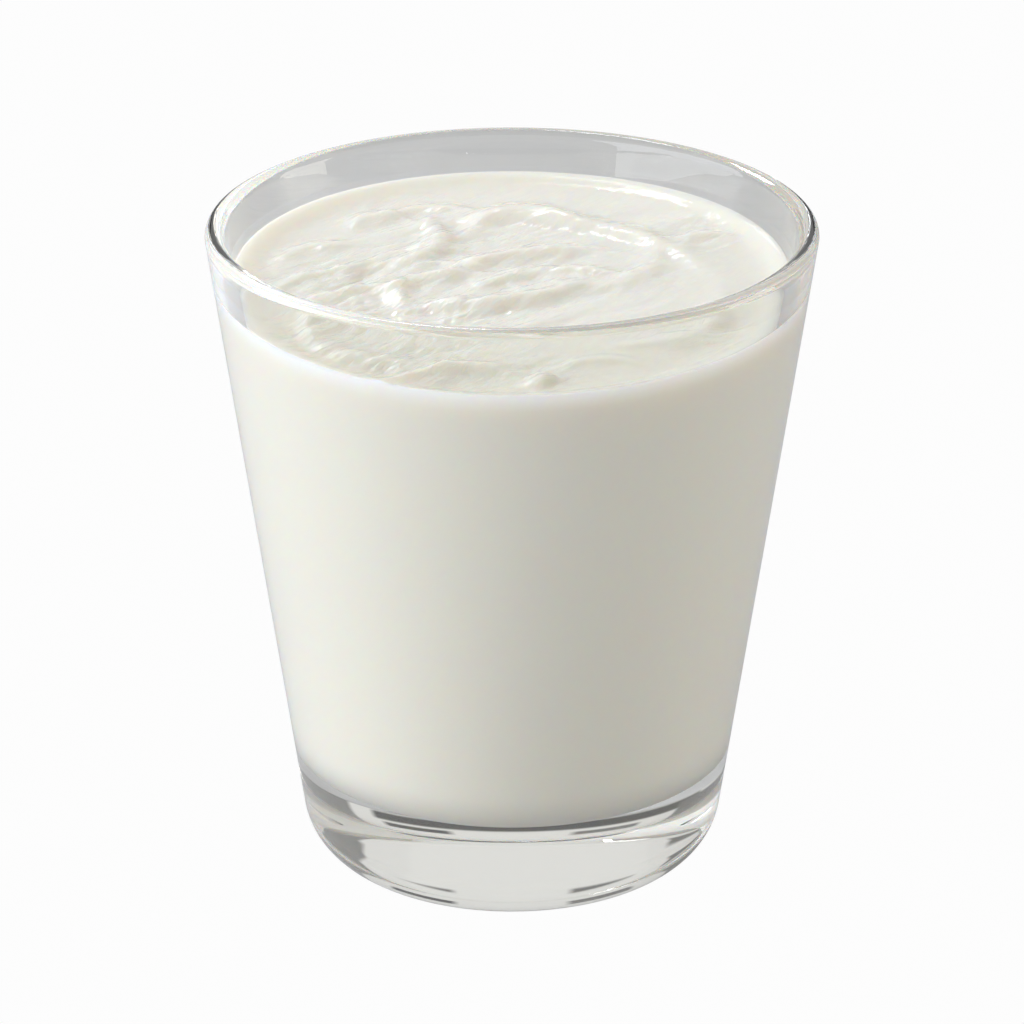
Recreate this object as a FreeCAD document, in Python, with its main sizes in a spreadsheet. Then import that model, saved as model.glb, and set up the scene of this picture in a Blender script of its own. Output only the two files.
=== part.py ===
"""A clear glass tumbler filled with plain set yogurt, stirred once on top.

Two pieces, in millimetres, +Z up, with the origin at the middle of the foot:
tumbler   one turned piece of glass: leaning wall, rounded rim, thick base
yogurt    what fills it, face to face with the glass, with a stirred and tilted top
"""
import FreeCAD, Part
import Sketcher
import math
import os

SIZES = [
    # the outside of the glass
    ("rim_radius", 42.5, "outer radius that the leaning wall reaches at the rim"),
    ("glass_height", 94.2, "bench to rim"),
    ("foot_line_radius", 28.5, "radius where the wall's line would meet the bench"),
    ("heel_round", 9.4, "radius of the round heel between wall and foot"),
    ("foot_ring_width", 2.6, "flat ring that the glass stands on"),
    ("punt_slope_width", 1.5, "run of the slope up into the hollow underside"),
    ("punt_depth", 3.6, "how far the hollow underside is raised"),
    # the rim, whose wall is the sum of these three
    ("rim_outer_round", 1.15, "outer rounding of the rim"),
    ("rim_land", 0.06, "sliver of level rim between its two roundings"),
    ("rim_inner_round", 1.5, "inner rounding of the rim"),
    # the inside of the glass
    ("wall_growth", 2.6, "how much thicker the wall is at the floor than at the rim"),
    ("floor_height", 14.5, "bench to the floor of the cavity"),
    ("floor_corner", 7.5, "radius between the floor and the wall of the cavity"),
    # the top of the yogurt
    ("headspace", 8.1, "rim down to the middle of the yogurt's top"),
    ("back_rise", 2.15, "how far the top rises from the middle to the back"),
    ("edge_droop", 0.75, "how far front and back droop below that slope"),
    ("wall_climb", 1.0, "how far the yogurt climbs the glass at its edge"),
    ("climb_width", 2.4, "how far from the glass that climb starts"),
    ("ridge_height", 1.0, "height of a full ridge left by the spoon"),
    ("ridge_width", 2.4, "half width of a full ridge on its gentle side"),
    ("ridge_steepness", 1.5, "how much narrower a ridge is on its front side"),
]

# Ridges left by the spoon, as shares of the top's radius and of a full ridge:
# across, back, half length, heading in degrees, bend, width, height
RIDGES = [
    (0.32, 0.47, 0.50, -27, -0.30, 1.3, 1.0),
    (0.02, 0.62, 0.20, 8, -0.60, 1.4, 1.1),
    (-0.32, 0.67, 0.16, 12, -0.30, 0.8, 0.6),
    (-0.52, 0.58, 0.11, 25, -0.50, 0.8, 0.8),
    (0.00, 0.20, 0.32, 24, -0.30, 1.0, 1.1),
    (-0.28, 0.26, 0.22, 64, 0.50, 1.1, 1.2),
    (-0.37, -0.05, 0.18, 52, -0.60, 0.9, 1.0),
    (0.08, 0.04, 0.30, 16, -0.35, 0.9, 0.9),
    (0.00, -0.22, 0.30, 19, 0.25, 1.0, 1.3),
    (0.46, 0.02, 0.25, 50, 0.50, 1.2, 0.6),
    (0.68, 0.40, 0.10, 30, -0.50, 0.8, 0.5),
    (-0.75, 0.27, 0.16, 34, -0.30, 0.8, 0.6),
    (-0.71, 0.03, 0.20, 31, -0.25, 0.7, 0.7),
    (-0.62, -0.14, 0.22, 28, -0.25, 0.7, 0.7),
    (-0.62, -0.61, 0.30, -44, 0.50, 1.0, 0.8),
    (-0.24, -0.76, 0.22, 13, -0.30, 0.8, 0.9),
    (0.10, -0.86, 0.06, 60, 0.00, 0.7, 1.0),
    (0.30, -0.68, 0.14, 8, -0.30, 0.7, 0.5),
    (0.66, -0.46, 0.30, 46, 0.50, 0.9, 0.6),
]
SURFACE_SPANS = 52       # knots of the top's surface along each side
SURFACE_MARGIN = 3.0     # how far that surface reaches past the glass, mm
ON_EDGE = 1e-4           # how near an edge has to lie to be the one looked for, mm

doc = FreeCAD.newDocument("yogurt_glass")
sheet = doc.addObject("Spreadsheet::Sheet", "Sizes")
for row, (name, value, meaning) in enumerate(SIZES, start=1):
    sheet.set(f"A{row}", str(value))
    sheet.setAlias(f"A{row}", name)
    sheet.set(f"B{row}", meaning)
doc.recompute()
size = {name: float(sheet.get(name)) for name, value, meaning in SIZES}

# Places that both pieces share, written as formulas of the sheet's own values
OUTER_SLOPE = "((Sizes.rim_radius - Sizes.foot_line_radius) / Sizes.glass_height)"
RIM_WALL = "(Sizes.rim_outer_round + Sizes.rim_land + Sizes.rim_inner_round)"
FOOT_EDGE = f"(Sizes.foot_line_radius - Sizes.heel_round * tan(45deg - atan({OUTER_SLOPE}) / 2))"
PUNT_EDGE = f"({FOOT_EDGE} - Sizes.foot_ring_width)"
MOUTH_RADIUS = f"(Sizes.rim_radius - {RIM_WALL})"
FLOOR_RADIUS = (f"(Sizes.foot_line_radius + {OUTER_SLOPE} * Sizes.floor_height"
                f" - {RIM_WALL} - Sizes.wall_growth)")


def value_of(formula):
    """The number that a formula of the sheet gives."""
    return float(sheet.evalExpression(formula.replace("Sizes.", "")))


def turned_profile(body, name, corners):
    """A closed sketch of straight lines through the corners, and its full turn about Z.

    Each corner is a pair of formulas, radius and height; "0" puts it on the axis itself.
    """
    plane = next(part for part in body.Origin.OriginFeatures if part.Role == "XZ_Plane")
    sketch = body.newObject("Sketcher::SketchObject", name)
    sketch.AttachmentSupport = (plane, [""])
    sketch.MapMode = "FlatFace"
    points = [FreeCAD.Vector(value_of(radius), value_of(height), 0)
              for radius, height in corners]
    for index, point in enumerate(points):
        sketch.addGeometry(Part.LineSegment(point, points[(index + 1) % len(points)]), False)
    for index, (corner, point) in enumerate(zip(corners, points)):
        before = (index - 1) % len(points)
        sketch.addConstraint(Sketcher.Constraint("Coincident", before, 2, index, 1))
        for kind, axis, formula, number in (("DistanceX", -2, corner[0], point.x),
                                            ("DistanceY", -1, corner[1], point.y)):
            if formula == "0":
                sketch.addConstraint(Sketcher.Constraint("PointOnObject", index, 1, axis))
                continue
            rule = Sketcher.Constraint(kind, -1, 1, index, 1, number)
            sketch.setExpression(f"Constraints[{sketch.addConstraint(rule)}]", formula)
    turn = body.newObject("PartDesign::Revolution", name + "_turn")
    turn.Profile = sketch
    turn.ReferenceAxis = (sketch, ["V_Axis"])
    turn.Angle = 360
    doc.recompute()
    body.Tip = turn
    return turn


def round_edge(body, name, radius, height, size_name):
    """Round the circular edge of that radius at that height by one size of the sheet."""
    base = body.Tip
    edges = [f"Edge{number}" for number, edge in enumerate(base.Shape.Edges, start=1)
             if isinstance(edge.Curve, Part.Circle)
             and abs(edge.Curve.Radius - radius) < ON_EDGE
             and abs(edge.Curve.Center.z - height) < ON_EDGE]
    if not edges:
        raise RuntimeError(f"no edge for {name}")
    fillet = body.newObject("PartDesign::Fillet", name)
    fillet.Base = (base, edges)
    fillet.Radius = size[size_name]
    fillet.setExpression("Radius", f"Sizes.{size_name}")
    doc.recompute()
    body.Tip = fillet
    return fillet


def make_tumbler():
    """The glass: one profile turned about Z, then its heel, rim, neck and floor rounded."""
    body = doc.addObject("PartDesign::Body", "tumbler")
    body.Label = "tumbler"
    turned_profile(body, "glass_profile", [
        ("0", "Sizes.punt_depth"),
        (f"{PUNT_EDGE} - Sizes.punt_slope_width", "Sizes.punt_depth"),
        (PUNT_EDGE, "0"),
        ("Sizes.foot_line_radius", "0"),
        ("Sizes.rim_radius", "Sizes.glass_height"),
        (MOUTH_RADIUS, "Sizes.glass_height"),
        (FLOOR_RADIUS, "Sizes.floor_height"),
        ("0", "Sizes.floor_height")])
    top = size["glass_height"]
    round_edge(body, "heel", size["foot_line_radius"], 0, "heel_round")
    round_edge(body, "rim_outside", size["rim_radius"], top, "rim_outer_round")
    round_edge(body, "rim_inside", value_of(MOUTH_RADIUS), top, "rim_inner_round")
    round_edge(body, "glass_corner", value_of(FLOOR_RADIUS), size["floor_height"],
               "floor_corner")
    return body


def top_height(x, y):
    """Height of the yogurt's top: a tilted, drooping sheet, a climb at the glass and ridges.

    A ridge is a bell across its bent line, narrower on its front side, and fades out
    towards both ends.
    """
    reach = top_radius
    back = y / reach
    height = fill_level + size["back_rise"] * back - size["edge_droop"] * back * back
    from_glass = (reach - math.hypot(x, y)) / size["climb_width"]
    height += size["wall_climb"] * math.exp(-max(from_glass, 0.0) ** 2)
    for across, depth, half, heading, bend, width, share in RIDGES:
        turn = math.radians(heading)
        dx, dy = x / reach - across, y / reach - depth
        along = (dx * math.cos(turn) + dy * math.sin(turn)) / half
        beside = (dy * math.cos(turn) - dx * math.sin(turn)) - bend * half * along * along
        spread = size["ridge_width"] * width / (size["ridge_steepness"] if beside < 0 else 1.0)
        bell = math.exp(-(beside * reach / spread) ** 2 - along ** 4)
        height += size["ridge_height"] * share * bell
    return height


def make_yogurt():
    """The fill: the cavity's own profile, turned and rounded, less all that is above its top."""
    body = doc.addObject("PartDesign::Body", "yogurt_blank")
    body.Label = "yogurt_blank"
    turned_profile(body, "fill_profile", [
        ("0", "Sizes.floor_height"),
        (FLOOR_RADIUS, "Sizes.floor_height"),
        (MOUTH_RADIUS, "Sizes.glass_height"),
        ("0", "Sizes.glass_height")])
    round_edge(body, "fill_corner", value_of(FLOOR_RADIUS), size["floor_height"],
               "floor_corner")
    edge = value_of(MOUTH_RADIUS) + SURFACE_MARGIN
    steps = [edge * (2 * index / SURFACE_SPANS - 1) for index in range(SURFACE_SPANS + 1)]
    surface = Part.BSplineSurface()
    surface.interpolate([[FreeCAD.Vector(x, y, top_height(x, y)) for y in steps]
                         for x in steps])
    air = doc.addObject("Part::Feature", "air_above")
    air.Shape = surface.toShape().extrude(FreeCAD.Vector(0, 0, size["glass_height"] / 2))
    cut = doc.addObject("Part::Cut", "yogurt")
    cut.Base = body
    cut.Tool = air
    cut.Label = "yogurt"
    doc.recompute()
    return cut


fill_level = size["glass_height"] - size["headspace"]
fill_share = (fill_level - size["floor_height"]) / (size["glass_height"] - size["floor_height"])
top_radius = value_of(FLOOR_RADIUS) + fill_share * (
    value_of(MOUTH_RADIUS) - value_of(FLOOR_RADIUS))
pieces = [make_tumbler(), make_yogurt()]
doc.recompute()

for part in doc.Objects:
    if "Invalid" in part.State or "Error" in part.State:
        raise RuntimeError(f"{part.Label} failed: {part.State}")
os.makedirs("parts", exist_ok=True)
for piece in pieces:
    shape = piece.Shape
    if shape.isNull() or not shape.isValid() or len(shape.Solids) != 1:
        raise RuntimeError(f"{piece.Label} isn't one valid solid")
    shape.exportStep(f"parts/{piece.Label}.step")
    box = shape.BoundBox
    print(f"{piece.Label}: {shape.Volume / 1000:.1f} cm3, z {box.ZMin:.2f} to {box.ZMax:.2f},"
          f" radius {box.XMax:.2f}")
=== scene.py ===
"""A clear glass tumbler of plain yogurt: pressed glass round a stirred, wet, off-white fill.

Lengths are written in millimetres, and MM turns them to metres where they meet Blender.
"""
import math
import bpy
import numpy as np
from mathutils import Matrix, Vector


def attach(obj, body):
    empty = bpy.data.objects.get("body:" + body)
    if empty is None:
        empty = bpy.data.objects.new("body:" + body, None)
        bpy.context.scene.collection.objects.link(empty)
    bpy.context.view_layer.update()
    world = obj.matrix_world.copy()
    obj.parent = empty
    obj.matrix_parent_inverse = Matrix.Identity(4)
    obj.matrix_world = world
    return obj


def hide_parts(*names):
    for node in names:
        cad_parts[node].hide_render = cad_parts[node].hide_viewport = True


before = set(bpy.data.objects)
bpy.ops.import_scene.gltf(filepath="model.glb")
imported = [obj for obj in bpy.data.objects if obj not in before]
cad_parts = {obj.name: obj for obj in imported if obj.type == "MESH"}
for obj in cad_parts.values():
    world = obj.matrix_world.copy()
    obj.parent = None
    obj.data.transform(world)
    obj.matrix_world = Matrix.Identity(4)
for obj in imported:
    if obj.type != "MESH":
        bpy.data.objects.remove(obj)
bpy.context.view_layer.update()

MM = 0.001
RIPPLE_SEED = 7          # of the draw that shifts each ripple along its heading

# The glass, as it was built
RIM_RADIUS = 42.5        # that the leaning wall reaches at the rim
GLASS_HEIGHT = 94.2
FOOT_LINE_RADIUS = 28.5  # where the wall's line would meet the bench
HEEL_ROUND = 9.4
FOOT_RING_WIDTH = 2.6
PUNT_SLOPE_WIDTH = 1.5   # run of the slope up into the hollow underside
PUNT_DEPTH = 3.6
RIM_OUTER_ROUND = 1.15
RIM_LAND = 0.06          # level rim between its two roundings
RIM_INNER_ROUND = 1.5
RIM_WALL = RIM_OUTER_ROUND + RIM_LAND + RIM_INNER_ROUND
WALL_GROWTH = 2.6        # how much thicker the wall is at the floor than at the rim
FLOOR_HEIGHT = 14.5
FLOOR_CORNER = 7.5
OUTER_SLOPE = (RIM_RADIUS - FOOT_LINE_RADIUS) / GLASS_HEIGHT
MOUTH_RADIUS = RIM_RADIUS - RIM_WALL
FLOOR_RADIUS = FOOT_LINE_RADIUS + OUTER_SLOPE * FLOOR_HEIGHT - RIM_WALL - WALL_GROWTH
INNER_SLOPE = (MOUTH_RADIUS - FLOOR_RADIUS) / (GLASS_HEIGHT - FLOOR_HEIGHT)

# The top of the yogurt, as it was built
HEADSPACE = 8.1
FILL_LEVEL = GLASS_HEIGHT - HEADSPACE
TOP_RADIUS = FLOOR_RADIUS + INNER_SLOPE * (FILL_LEVEL - FLOOR_HEIGHT)
BACK_RISE = 2.15         # from the middle to the back
EDGE_DROOP = 0.75        # of front and back below that slope
WALL_CLIMB = 1.0         # up the glass at the edge
CLIMB_WIDTH = 2.4
RIDGE_HEIGHT = 1.0
RIDGE_WIDTH = 2.4
RIDGE_STEEPNESS = 1.5    # how much narrower a ridge is on its front side
SKIN = 0.06              # how far the yogurt reaches into the glass, so that no air shows

# The ridges that the spoon left: place and half length in shares of the top's radius, heading
# in degrees, the shift of its ends over its half length, width and height of a full ridge
RIDGES = [  # across, back, half length, heading, bend, width, height
    (0.32, 0.47, 0.50, -27, -0.30, 1.3, 1.0),
    (0.02, 0.62, 0.20, 8, -0.60, 1.4, 1.1),
    (-0.32, 0.67, 0.16, 12, -0.30, 0.8, 0.6),
    (-0.52, 0.58, 0.11, 25, -0.50, 0.8, 0.8),
    (0.00, 0.20, 0.32, 24, -0.30, 1.0, 1.1),
    (-0.28, 0.26, 0.22, 64, 0.50, 1.1, 1.2),
    (-0.37, -0.05, 0.18, 52, -0.60, 0.9, 1.0),
    (0.08, 0.04, 0.30, 16, -0.35, 0.9, 0.9),
    (0.00, -0.22, 0.30, 19, 0.25, 1.0, 1.3),
    (0.46, 0.02, 0.25, 50, 0.50, 1.2, 0.6),
    (0.68, 0.40, 0.10, 30, -0.50, 0.8, 0.5),
    (-0.75, 0.27, 0.16, 34, -0.30, 0.8, 0.6),
    (-0.71, 0.03, 0.20, 31, -0.25, 0.7, 0.7),
    (-0.62, -0.14, 0.22, 28, -0.25, 0.7, 0.7),
    (-0.62, -0.61, 0.30, -44, 0.50, 1.0, 0.8),
    (-0.24, -0.76, 0.22, 13, -0.30, 0.8, 0.9),
    (0.10, -0.86, 0.06, 60, 0.00, 0.7, 1.0),
    (0.30, -0.68, 0.14, 8, -0.30, 0.7, 0.5),
    (0.66, -0.46, 0.30, 46, 0.50, 0.9, 0.6),
]

# The fine waves of the top: wavelength in mm, heading in degrees and steepest slope
RIPPLES = [
    (9.0, 120, 0.10), (7.0, 128, 0.10), (5.2, 118, 0.12), (4.1, 132, 0.12),
    (3.4, 115, 0.12), (2.8, 140, 0.12), (2.3, 122, 0.12), (1.9, 108, 0.12),
    (1.6, 130, 0.12), (6.0, 185, 0.06), (3.0, 200, 0.07), (2.1, 190, 0.08),
]

# Where the spoon left the top rough: across, back, radius and strength, in shares of the
# top's radius and of a full ripple
ROUGH_PATCHES = [
    (-0.66, 0.05, 0.22, 0.9),
    (-0.45, -0.22, 0.26, 1.0),
    (-0.30, 0.22, 0.16, 0.8),
    (-0.42, 0.60, 0.20, 0.5),
    (-0.05, 0.40, 0.20, 0.6),
    (0.05, 0.02, 0.22, 0.6),
    (-0.05, -0.30, 0.25, 0.6),
    (-0.32, -0.74, 0.26, 1.0),
    (-0.70, -0.55, 0.20, 0.8),
    (0.10, -0.80, 0.14, 0.6),
    (0.45, 0.00, 0.20, 0.3),
    (0.72, 0.45, 0.14, 0.6),
    (0.70, -0.50, 0.18, 0.5),
]
CALM = 0.13              # strength of the ripples away from the patches
SHORE_WIDTH = 5.0        # over which the ripples fade towards the glass
SHORE_CALM = 0.1         # share of them that is left at the glass
PAINTED_GLOW_DEPTH = 1.7         # how far below its edge the painted glow on the yogurt against the glass reaches

# How finely the pieces are meshed
GLASS_TURN_STEPS = 288
TOP_SPANS = 240          # grid spans across the yogurt's top
SIDE_STEPS = 22          # rings down the yogurt's wall
SIDE_CROWDING = 1.6      # above 1 the rings crowd together under the yogurt's edge


# ---------------------------------------------------------------- mesh helpers

def add_mesh(name, points, quads, triangles=()):
    """A smooth-shaded mesh object from points in millimetres and arrays of corner numbers."""
    mesh = bpy.data.meshes.new(name)
    corners = np.concatenate([np.ravel(quads), np.ravel(triangles)]).astype(np.int32)
    counts = np.concatenate([np.full(len(quads), 4), np.full(len(triangles), 3)]).astype(np.int32)
    mesh.vertices.add(len(points))
    mesh.vertices.foreach_set("co", (np.asarray(points, float) * MM).ravel())
    mesh.loops.add(len(corners))
    mesh.loops.foreach_set("vertex_index", corners)
    mesh.polygons.add(len(counts))
    mesh.polygons.foreach_set("loop_start", (np.cumsum(counts) - counts).astype(np.int32))
    mesh.polygons.foreach_set("loop_total", counts)
    mesh.polygons.foreach_set("use_smooth", np.ones(len(counts), bool))
    mesh.update(calc_edges=True)
    mesh.validate()
    piece = bpy.data.objects.new(name, mesh)
    bpy.context.collection.objects.link(piece)
    return piece


def write_attribute(piece, name, values):
    """Store one number for each of a piece's points, for its materials to read."""
    layer = piece.data.attributes.new(name, "FLOAT", "POINT")
    layer.data.foreach_set("value", values.astype(np.float32))


def run(start, end, count):
    """Points spread evenly from start to end: start (1 - share) + end share."""
    share = np.linspace(0, 1, count)[:, None]
    return np.array(start) * (1 - share) + np.array(end) * share


def arc(centre, radius, start, end, count):
    """Points of a circular arc: centre plus radius times the cosine and sine of the angle."""
    angle = np.radians(np.linspace(start, end, count))
    return np.array(centre) + radius * np.stack([np.cos(angle), np.sin(angle)], axis=1)


def chain(*runs):
    """Runs joined end to end, with the points that two neighbours share kept once."""
    points = [runs[0]]
    for extra in runs[1:]:
        points.append(extra[1:] if np.allclose(extra[0], points[-1][-1]) else extra)
    return np.concatenate(points)


def lathe(name, profile, steps):
    """A profile of (radius, height) turned about Z: x = r cos a, y = r sin a, z = height.

    The profile starts and ends on the axis, where the surface closes in one point each.
    """
    angle = np.linspace(0, 2 * math.pi, steps, endpoint=False)
    radius, height = profile[1:-1, 0:1], profile[1:-1, 1:2]
    rings = np.stack([radius * np.cos(angle), radius * np.sin(angle),
                      np.broadcast_to(height, (len(radius), steps))], axis=-1)
    points = np.concatenate([[[0, 0, profile[0, 1]]], rings.reshape(-1, 3),
                             [[0, 0, profile[-1, 1]]]])
    ring = np.arange(len(radius) * steps).reshape(len(radius), steps) + 1
    after = np.roll(ring, -1, axis=1)
    quads = np.stack([ring[:-1], after[:-1], after[1:], ring[1:]], axis=-1).reshape(-1, 4)
    first = np.stack([np.zeros(steps, int), after[0], ring[0]], axis=-1)
    last = np.stack([np.full(steps, len(points) - 1), ring[-1], after[-1]], axis=-1)
    return add_mesh(name, points, quads, np.concatenate([first, last]))


# ---------------------------------------------------------------- shapes

def tumbler_profile():
    """The glass from the middle of its underside, out over the rim and down to its floor.

    The underside is half a cosine wave from the hollow down to the foot ring. Heel, rim and
    floor corner are arcs that touch the straight runs on both sides of them. The last number
    of each run and arc is how many points it has.
    """
    lean = math.degrees(math.atan(OUTER_SLOPE))
    foot_edge = FOOT_LINE_RADIUS - HEEL_ROUND * math.tan(math.radians(45 - lean / 2))
    ring_edge = foot_edge - FOOT_RING_WIDTH
    share = np.linspace(0, 1, 14)
    hollow = np.stack([ring_edge - PUNT_SLOPE_WIDTH * (1 - share),
                       PUNT_DEPTH * (0.5 + 0.5 * np.cos(math.pi * share))], axis=1)
    heel = arc((foot_edge, HEEL_ROUND), HEEL_ROUND, -90, -lean, 40)
    bow = math.tan(math.radians(45 + lean / 2))
    rim_out = arc((RIM_RADIUS - RIM_OUTER_ROUND * bow, GLASS_HEIGHT - RIM_OUTER_ROUND),
                  RIM_OUTER_ROUND, -lean, 90, 20)
    inner_lean = math.degrees(math.atan(INNER_SLOPE))
    tuck = math.tan(math.radians(45 - inner_lean / 2))
    rim_in = arc((MOUTH_RADIUS + RIM_INNER_ROUND * tuck, GLASS_HEIGHT - RIM_INNER_ROUND),
                 RIM_INNER_ROUND, 90, 180 - inner_lean, 20)
    floor = cavity_profile(0.0)
    return chain(run((0, PUNT_DEPTH), hollow[0], 6), hollow, run(hollow[-1], heel[0], 3), heel,
                 run(heel[-1], rim_out[0], 60), rim_out, rim_in, run(rim_in[-1], floor[0], 60),
                 floor)


def cavity_profile(grow, corner_steps=20, floor_steps=8):
    """The cavity's floor corner, an arc that touches the wall, and its level floor to the axis.

    Both are pushed outwards by grow.
    """
    lean = math.degrees(math.atan(INNER_SLOPE))
    tuck = math.tan(math.radians(45 - lean / 2))
    corner = arc((FLOOR_RADIUS - FLOOR_CORNER * tuck, FLOOR_HEIGHT + FLOOR_CORNER),
                 FLOOR_CORNER + grow, -lean, -90, corner_steps)
    return chain(corner, run(corner[-1], (0, FLOOR_HEIGHT - grow), floor_steps))


def wall_radius(height):
    """Radius of the cavity's straight wall at a height: floor radius + slope (height - floor)."""
    return FLOOR_RADIUS + INNER_SLOPE * (height - FLOOR_HEIGHT)


def top_height(x, y):
    """Height of the yogurt's top: a tilted, drooping sheet, a climb at the glass and ridges.

    The sheet is level + rise b - droop b^2, with b the share of the way to the back. The climb
    is a bell exp(-g^2) of the distance from the glass over its width. A ridge is a bell across
    its bent line, narrower on its front side, that fades towards both ends: exp(-beside^2 -
    along^4), with beside over the ridge's spread and along over its half length.
    """
    back = y / TOP_RADIUS
    height = FILL_LEVEL + BACK_RISE * back - EDGE_DROOP * back * back
    from_glass = (TOP_RADIUS - np.hypot(x, y)) / CLIMB_WIDTH
    height = height + WALL_CLIMB * np.exp(-np.maximum(from_glass, 0.0) ** 2)
    for across, back_share, half, heading, bend, width, share in RIDGES:
        turn = math.radians(heading)
        dx, dy = x / TOP_RADIUS - across, y / TOP_RADIUS - back_share
        along = (dx * math.cos(turn) + dy * math.sin(turn)) / half
        beside = (dy * math.cos(turn) - dx * math.sin(turn)) - bend * half * along * along
        spread = RIDGE_WIDTH * width / np.where(beside < 0, RIDGE_STEEPNESS, 1.0)
        bell = np.exp(-(beside * TOP_RADIUS / spread) ** 2 - along ** 4)
        height = height + RIDGE_HEIGHT * share * bell
    return height


def roughness_of_top(x, y):
    """How rough the spoon left the top, from 0 to 1: calm + (1 - calm) strength exp(-away^2),
    summed over the patches, with away over the patch's radius.

    Near the glass it fades by the smooth step 3 i^2 - 2 i^3 of the way inland.
    """
    rough = CALM
    for across, back, reach, strength in ROUGH_PATCHES:
        away = np.hypot(x / TOP_RADIUS - across, y / TOP_RADIUS - back) / reach
        rough = rough + (1 - CALM) * strength * np.exp(-away ** 2)
    inland = np.clip((TOP_RADIUS - np.hypot(x, y)) / SHORE_WIDTH, 0, 1)
    fade = SHORE_CALM + (1 - SHORE_CALM) * inland * inland * (3 - 2 * inland)
    return np.minimum(rough, 1.0) * fade


def ripples(x, y):
    """Fine waves that the spoon left: the sum of slope / k sin(k d + phase), times the roughness.

    k is 2 pi over the wavelength and d the distance along the wave's heading, measured from
    points that slow sines of about 1 mm push aside, so that no crest runs straight.
    """
    draw = np.random.default_rng(RIPPLE_SEED)
    bend_x = 1.3 * np.sin(0.23 * y + 0.5) + 0.9 * np.sin(0.31 * x - 0.17 * y)
    bend_y = 1.2 * np.sin(0.19 * x + 1.1) + 0.8 * np.sin(0.27 * y + 0.21 * x)
    total = np.zeros_like(x)
    for wavelength, degrees, steepness in RIPPLES:
        heading = math.radians(degrees)
        phase = draw.uniform(0, 2 * math.pi)
        wave = 2 * math.pi / wavelength
        total += steepness / wave * np.sin(
            wave * ((x + bend_x) * math.cos(heading) + (y + bend_y) * math.sin(heading)) + phase)
    return total * roughness_of_top(x, y)


def eased_disc(spans):
    """A square grid eased onto the unit disc, as each point's radius and angle.

    Grid place (u, v) goes to x = u sqrt(1 - v^2/2), y = v sqrt(1 - u^2/2).
    """
    line = np.linspace(-1, 1, spans + 1)
    u, v = np.meshgrid(line, line, indexing="ij")
    x, y = u * np.sqrt(1 - v * v / 2), v * np.sqrt(1 - u * u / 2)
    return np.hypot(x, y), np.arctan2(y, x)


def make_yogurt():
    """The fill as one closed surface: an eased disc for the stirred top, then rings down the
    wall and over the floor corner to the axis.

    A ring's share of the way down the wall is its number over SIDE_STEPS, to the power
    SIDE_CROWDING. The two attributes are the top's roughness, and a bell exp(-d^2) of the
    depth below the edge over the depth of the painted glow. That bell masks the painted glow,
    which stands in for light coming in through the top.
    """
    share, angle = eased_disc(TOP_SPANS)
    edge = wall_radius(top_height(TOP_RADIUS * np.cos(angle), TOP_RADIUS * np.sin(angle))) + SKIN
    x, y = share * edge * np.cos(angle), share * edge * np.sin(angle)
    top = np.stack([x, y, top_height(x, y) + ripples(x, y)], axis=-1).reshape(-1, 3)
    number = np.arange(len(top)).reshape(x.shape)
    top_quads = np.stack([number[:-1, :-1], number[1:, :-1], number[1:, 1:], number[:-1, 1:]],
                         axis=-1).reshape(-1, 4)

    border = np.concatenate([number[:-1, 0], number[-1, :-1], number[:0:-1, -1], number[0, :0:-1]])
    rim = top[border]
    rim_height = rim[:, 2]
    turn = np.arctan2(rim[:, 1], rim[:, 0])
    below = cavity_profile(SKIN, corner_steps=12, floor_steps=3)
    fall = np.linspace(0, 1, SIDE_STEPS + 1)[1:, None] ** SIDE_CROWDING
    radius = np.hypot(rim[:, 0], rim[:, 1]) * (1 - fall) + below[0, 0] * fall
    height = rim_height * (1 - fall) + below[0, 1] * fall
    radius = np.concatenate([radius, np.repeat(below[1:-1, 0:1], len(turn), axis=1)])
    height = np.concatenate([height, np.repeat(below[1:-1, 1:2], len(turn), axis=1)])
    side = np.stack([radius * np.cos(turn), radius * np.sin(turn), height], axis=-1)
    side_number = len(top) + np.arange(radius.size).reshape(radius.shape)
    ring = np.concatenate([border[None], side_number])
    after = np.roll(ring, -1, axis=1)
    side_quads = np.stack([ring[:-1], ring[1:], after[1:], after[:-1]], axis=-1).reshape(-1, 4)

    points = np.concatenate([top, side.reshape(-1, 3), [[0, 0, below[-1, 1]]]])
    end = np.stack([np.full(len(turn), len(points) - 1), after[-1], ring[-1]], axis=-1)
    piece = add_mesh("yogurt_fill", points, np.concatenate([top_quads, side_quads]), end)
    piece.data.materials.append(wet_yogurt())
    piece.data.materials.append(yogurt_on_glass())
    finish = np.concatenate([np.zeros(len(top_quads)), np.ones(len(side_quads) + len(end))])
    piece.data.polygons.foreach_set("material_index", finish.astype(np.int32))

    edge_height = np.full(len(points), np.inf)
    edge_height[border] = rim_height
    edge_height[side_number] = rim_height
    write_attribute(piece, "stirred", roughness_of_top(points[:, 0], points[:, 1]))
    # painted glow mask: the yogurt on the glass is painted paler under its edge, standing in for
    # light coming through its top
    write_attribute(piece, "painted_edge_glow", np.exp(-((edge_height - points[:, 2]) / PAINTED_GLOW_DEPTH) ** 2))
    return piece


# ---------------------------------------------------------------- materials

YOGURT_WHITE = "eeece2"
PAINTED_GLOW_WHITE = "fafbfc"                    # painted glow: a paler, cooler white under the yogurt's edge, standing in for light that comes in through its top
YOGURT_GLOW = (0.0036, 0.0026, 0.0017)   # how far red, green and blue wander in it, in metres
STREAK_HEADING = 48      # of the spoon's fine streaks, in degrees
STREAK_LENGTH = 3.0
STREAK_WIDTH = 0.8
STREAK_DEPTH = 0.35
GLASS_TINT = "fbfbf6"
GLASS_PASS = 0.94        # share of the lamps' light that gets through the glass
PAPER_GREY = "b9b9bb"    # the paper as it lights the glass
PAPER_WHITE = 0.98       # the paper as it shows


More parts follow.
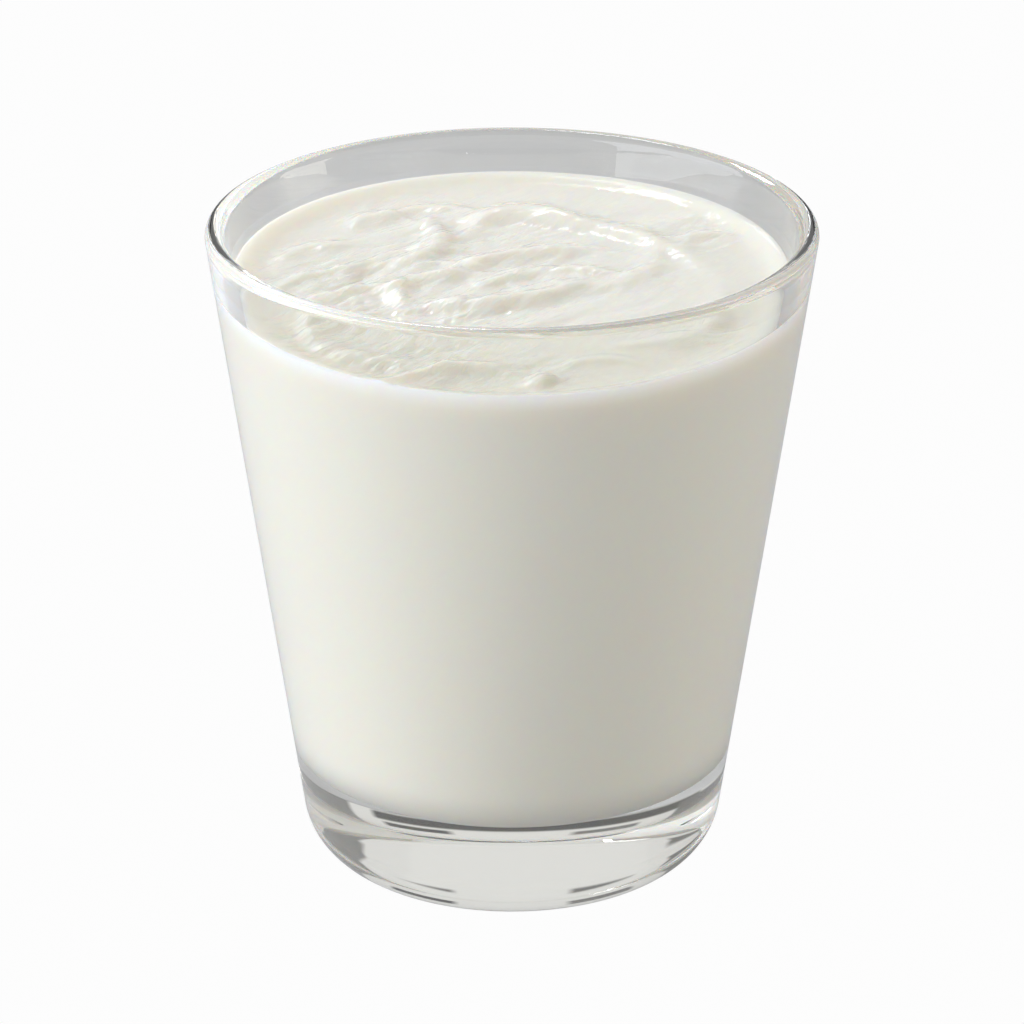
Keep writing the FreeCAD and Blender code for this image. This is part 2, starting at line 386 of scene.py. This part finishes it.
def colour(text):
    """An sRGB hex colour as linear red, green, blue and a full alpha."""
    parts = [int(text[index:index + 2], 16) / 255 for index in (0, 2, 4)]
    linear = [p / 12.92 if p <= 0.04045 else ((p + 0.055) / 1.055) ** 2.4 for p in parts]
    return (*linear, 1.0)


def new_material(name):
    """A material with an empty node tree: the material, its tree and its output node."""
    material = bpy.data.materials.new(name)
    material.use_nodes = True
    tree = material.node_tree
    tree.nodes.clear()
    return material, tree, tree.nodes.new("ShaderNodeOutputMaterial")


def node(tree, kind, settings=None, *inputs, **links):
    """Add one node with its settings and links.

    Settings are socket values and attributes by name. Inputs, in order, and links, by socket
    name with _ for a space, are each a number or another node's output.
    """
    made = tree.nodes.new(kind)
    for key, value in (settings or {}).items():
        if key in made.inputs.keys():
            made.inputs[key].default_value = value
        else:
            setattr(made, key, value)
    sources = list(zip(made.inputs, inputs))
    sources += [(made.inputs[key.replace("_", " ")], source) for key, source in links.items()]
    for socket, source in sources:
        if isinstance(source, (int, float)):
            socket.default_value = source
        else:
            tree.links.new(source, socket)
    return made


def clear_glass():
    """Soda-lime glass, pressed and fire polished: clear, with a bright mirror-like surface.

    Light from the lamps goes straight through it, which stands in for the soft light that
    real glass lets onto what it holds.
    """
    material, tree, out = new_material("soda_lime_glass_fire_polished")
    glass = node(tree, "ShaderNodeBsdfPrincipled", {
        "Base Color": colour(GLASS_TINT), "Roughness": 0.0, "IOR": 1.52,
        "Transmission Weight": 1.0})
    through = node(tree, "ShaderNodeBsdfTransparent", {
        "Color": (GLASS_PASS, GLASS_PASS, GLASS_PASS, 1)})
    path = node(tree, "ShaderNodeLightPath")
    surface = glass.outputs[0]
    for kind in ("Is Diffuse Ray", "Is Shadow Ray"):
        surface = node(tree, "ShaderNodeMixShader", {}, path.outputs[kind], surface,
                       through.outputs[0]).outputs[0]
    tree.links.new(surface, out.inputs["Surface"])
    return material


def wet_yogurt():
    """Plain yogurt in the open air: creamy off-white, glowing a little, and wet.

    Fine streaks that the spoon drew, STREAK_LENGTH by STREAK_WIDTH, break its shine into
    glints where it was stirred.
    """
    material, tree, out = new_material("plain_yogurt_wet")
    place = node(tree, "ShaderNodeTexCoord")
    along = node(tree, "ShaderNodeMapping", {
        "vector_type": "TEXTURE", "Rotation": (0, 0, math.radians(STREAK_HEADING)),
        "Scale": (STREAK_LENGTH * MM, STREAK_WIDTH * MM, STREAK_LENGTH * MM)},
        Vector=place.outputs["Object"])
    streaks = node(tree, "ShaderNodeTexNoise", {
        "Scale": 1.0, "Detail": 2.0, "Roughness": 0.5, "Distortion": 0.6},
        Vector=along.outputs["Vector"])
    stirred = node(tree, "ShaderNodeAttribute", {"attribute_name": "stirred"})
    bump = node(tree, "ShaderNodeBump", {"Distance": STREAK_DEPTH * MM},
                Height=streaks.outputs["Fac"], Strength=stirred.outputs["Fac"])
    skin = node(tree, "ShaderNodeBsdfPrincipled", {
        "Base Color": colour(YOGURT_WHITE), "Subsurface Weight": 1.0,
        "Subsurface Radius": YOGURT_GLOW, "Subsurface Scale": 1.0,
        "Roughness": 0.09, "IOR": 1.40}, Normal=bump.outputs["Normal"])
    tree.links.new(skin.outputs[0], out.inputs["Surface"])
    return material


def yogurt_on_glass():
    """Plain yogurt pressed against the glass: the same white with no gloss of its own.

    Under its edge it is painted paler and cooler: a painted glow that stands in for light
    which comes in through the top and shines through the yogurt.
    """
    material, tree, out = new_material("plain_yogurt_against_glass")
    # the painted glow under the edge, paler and cooler, standing in for light shining through from
    # the top
    glow_mask = node(tree, "ShaderNodeAttribute", {"attribute_name": "painted_edge_glow"})
    white = node(tree, "ShaderNodeMix", {"data_type": "RGBA"})
    factor, full, glow_white = white.inputs[0], white.inputs[6], white.inputs[7]
    full.default_value = colour(YOGURT_WHITE)
    glow_white.default_value = colour(PAINTED_GLOW_WHITE)
    tree.links.new(glow_mask.outputs["Fac"], factor)
    skin = node(tree, "ShaderNodeBsdfPrincipled", {
        "Subsurface Weight": 1.0, "Subsurface Radius": YOGURT_GLOW, "Subsurface Scale": 1.0,
        "Roughness": 0.8, "IOR": 1.36, "Specular IOR Level": 0.0}, Base_Color=white.outputs[2])
    tree.links.new(skin.outputs[0], out.inputs["Surface"])
    return material


# ---------------------------------------------------------------- pieces

glass = lathe("glass_tumbler", tumbler_profile(), GLASS_TURN_STEPS)
glass.data.materials.append(clear_glass())
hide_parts("tumbler")
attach(glass, "root")

yogurt = make_yogurt()
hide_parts("yogurt")
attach(yogurt, "root")


# ---------------------------------------------------------------- stage, light and camera

# Panels in the room, as azimuth from the eye round to the right, elevation, half width and
# half height in degrees, and brightness
PANELS = [
    (185, 27, 28, 17, 0.78),      # the backdrop, which shines through the base
    (190, 4, 40, 3.5, 0.12),      # a dark skirting under it
    (-124, 14, 16, 12, 0.20),     # dark boards behind the glass, left and right
    (160, 13, 8, 3, 0.10),
    (-160, 14, 8, 3, 0.20),
    (122, 12, 20, 26, 0.25),
    (96, 6, 11, 26, 0.03),        # black boards at both sides, which draw its edges
    (-98, 2, 11, 22, 0.03),
    (0, 90, 180, 36, 0.05),       # a dark ceiling
]
ROOM_LIGHT = 0.75
PANEL_BLUR = 2.0         # degrees over which a panel's edge fades
LAMP_AIM = (0, 0, 50)

EYE_DISTANCE = 841.0     # from the point that it looks at
EYE_ELEVATION = 0.38967  # above level, in radians
AIM_HEIGHT = 51.285      # of that point above the bench
FOCAL_LENGTH = 210.52
SENSOR_WIDTH = 36.0


def make_floor():
    """A wide pale sheet of paper under the glass, which shows white but lights it softly."""
    half = 3000.0
    corners = [[-half, -half, 0], [half, -half, 0], [half, half, 0], [-half, half, 0]]
    floor = add_mesh("paper_floor", corners, [[0, 1, 2, 3]])
    material, tree, out = new_material("matte_white_paper")
    path = node(tree, "ShaderNodeLightPath")
    seen = node(tree, "ShaderNodeEmission", {"Color": (1, 1, 1, 1), "Strength": PAPER_WHITE})
    paper = node(tree, "ShaderNodeBsdfPrincipled", {
        "Base Color": colour(PAPER_GREY), "Roughness": 0.9})
    mix = node(tree, "ShaderNodeMixShader", {}, path.outputs["Is Camera Ray"], paper.outputs[0],
               seen.outputs[0])
    tree.links.new(mix.outputs[0], out.inputs["Surface"])
    floor.data.materials.append(material)


def softbox(name, place, size, watts, tint):
    """A rectangular lamp at a place, turned to face the middle of the glass."""
    light = bpy.data.lights.new(name, "AREA")
    light.shape = "RECTANGLE"
    light.size, light.size_y = size[0] * MM, size[1] * MM
    light.energy = watts
    light.color = colour(tint)[:3]
    lamp = bpy.data.objects.new(name, light)
    bpy.context.collection.objects.link(lamp)
    lamp.location = Vector(place) * MM
    lamp.rotation_euler = (Vector(LAMP_AIM) - Vector(place)).to_track_quat("-Z", "Y").to_euler()


def make_world():
    """A pale room: even light, with soft-edged panels placed by azimuth and elevation.

    A panel's mask falls from 1 to 0 over the blur at its edge, and it moves the light from
    the room's value towards the panel's.
    """
    world = bpy.data.worlds.new("pale_room")
    bpy.context.scene.world = world
    world.use_nodes = True
    tree = world.node_tree
    ray = node(tree, "ShaderNodeTexCoord")
    axes = node(tree, "ShaderNodeSeparateXYZ", Vector=ray.outputs["Generated"])
    ahead = node(tree, "ShaderNodeMath", {"operation": "MULTIPLY"}, axes.outputs["Y"], -1.0)
    turn = node(tree, "ShaderNodeMath", {"operation": "ARCTAN2"},
                axes.outputs["X"], ahead.outputs[0])
    rise = node(tree, "ShaderNodeMath", {"operation": "ARCSINE"}, axes.outputs["Z"])
    azimuth = node(tree, "ShaderNodeMath", {"operation": "DEGREES"}, turn.outputs[0])
    elevation = node(tree, "ShaderNodeMath", {"operation": "DEGREES"}, rise.outputs[0])
    light = ROOM_LIGHT
    for centre, height, half_width, half_height, brightness in PANELS:
        mask = 1.0
        for angle, middle, half in ((azimuth, centre, half_width),
                                    (elevation, height, half_height)):
            offset = node(tree, "ShaderNodeMath", {"operation": "SUBTRACT"},
                          angle.outputs[0], middle)
            away = node(tree, "ShaderNodeMath", {"operation": "PINGPONG"},
                        offset.outputs[0], 180.0)
            inside = node(tree, "ShaderNodeMapRange", {
                "From Min": half - PANEL_BLUR / 2, "From Max": half + PANEL_BLUR / 2,
                "To Min": 1.0, "To Max": 0.0}, Value=away.outputs[0])
            both = node(tree, "ShaderNodeMath", {"operation": "MULTIPLY"},
                        mask, inside.outputs[0])
            mask = both.outputs[0]
        panel = node(tree, "ShaderNodeMapRange", {"To Max": brightness},
                     Value=mask, To_Min=light)
        light = panel.outputs[0]
    tree.links.new(light, tree.nodes["Background"].inputs["Color"])


def make_camera():
    """The eye, in front of the glass and looking down on it."""
    data = bpy.data.cameras.new("eye")
    data.sensor_width = SENSOR_WIDTH
    data.lens = FOCAL_LENGTH
    data.clip_start, data.clip_end = 0.01, 50.0
    eye = bpy.data.objects.new("eye", data)
    bpy.context.collection.objects.link(eye)
    eye.location = Vector((0, -EYE_DISTANCE * math.cos(EYE_ELEVATION),
                           AIM_HEIGHT + EYE_DISTANCE * math.sin(EYE_ELEVATION))) * MM
    eye.rotation_euler = (math.pi / 2 - EYE_ELEVATION, 0, 0)
    bpy.context.scene.camera = eye


make_floor()
make_world()
make_camera()
softbox("key_left", (-720, -200, 330), (1000, 750), 6.5, "f4f8ff")
softbox("fill_right", (650, 60, 200), (300, 400), 1.2, "fffaf2")
softbox("glint_back_left", (-330, 560, 600), (260, 150), 2.6, "f8faff")
softbox("glint_back", (-100, 570, 778), (150, 70), 0.5, "f8faff")

# Light crosses both walls of the glass several times before it leaves
scene = bpy.context.scene
scene.view_settings.view_transform = "Standard"
scene.cycles.use_denoising = True
scene.cycles.max_bounces = 24
scene.cycles.transmission_bounces = 24
scene.cycles.glossy_bounces = 12
scene.cycles.transparent_max_bounces = 16
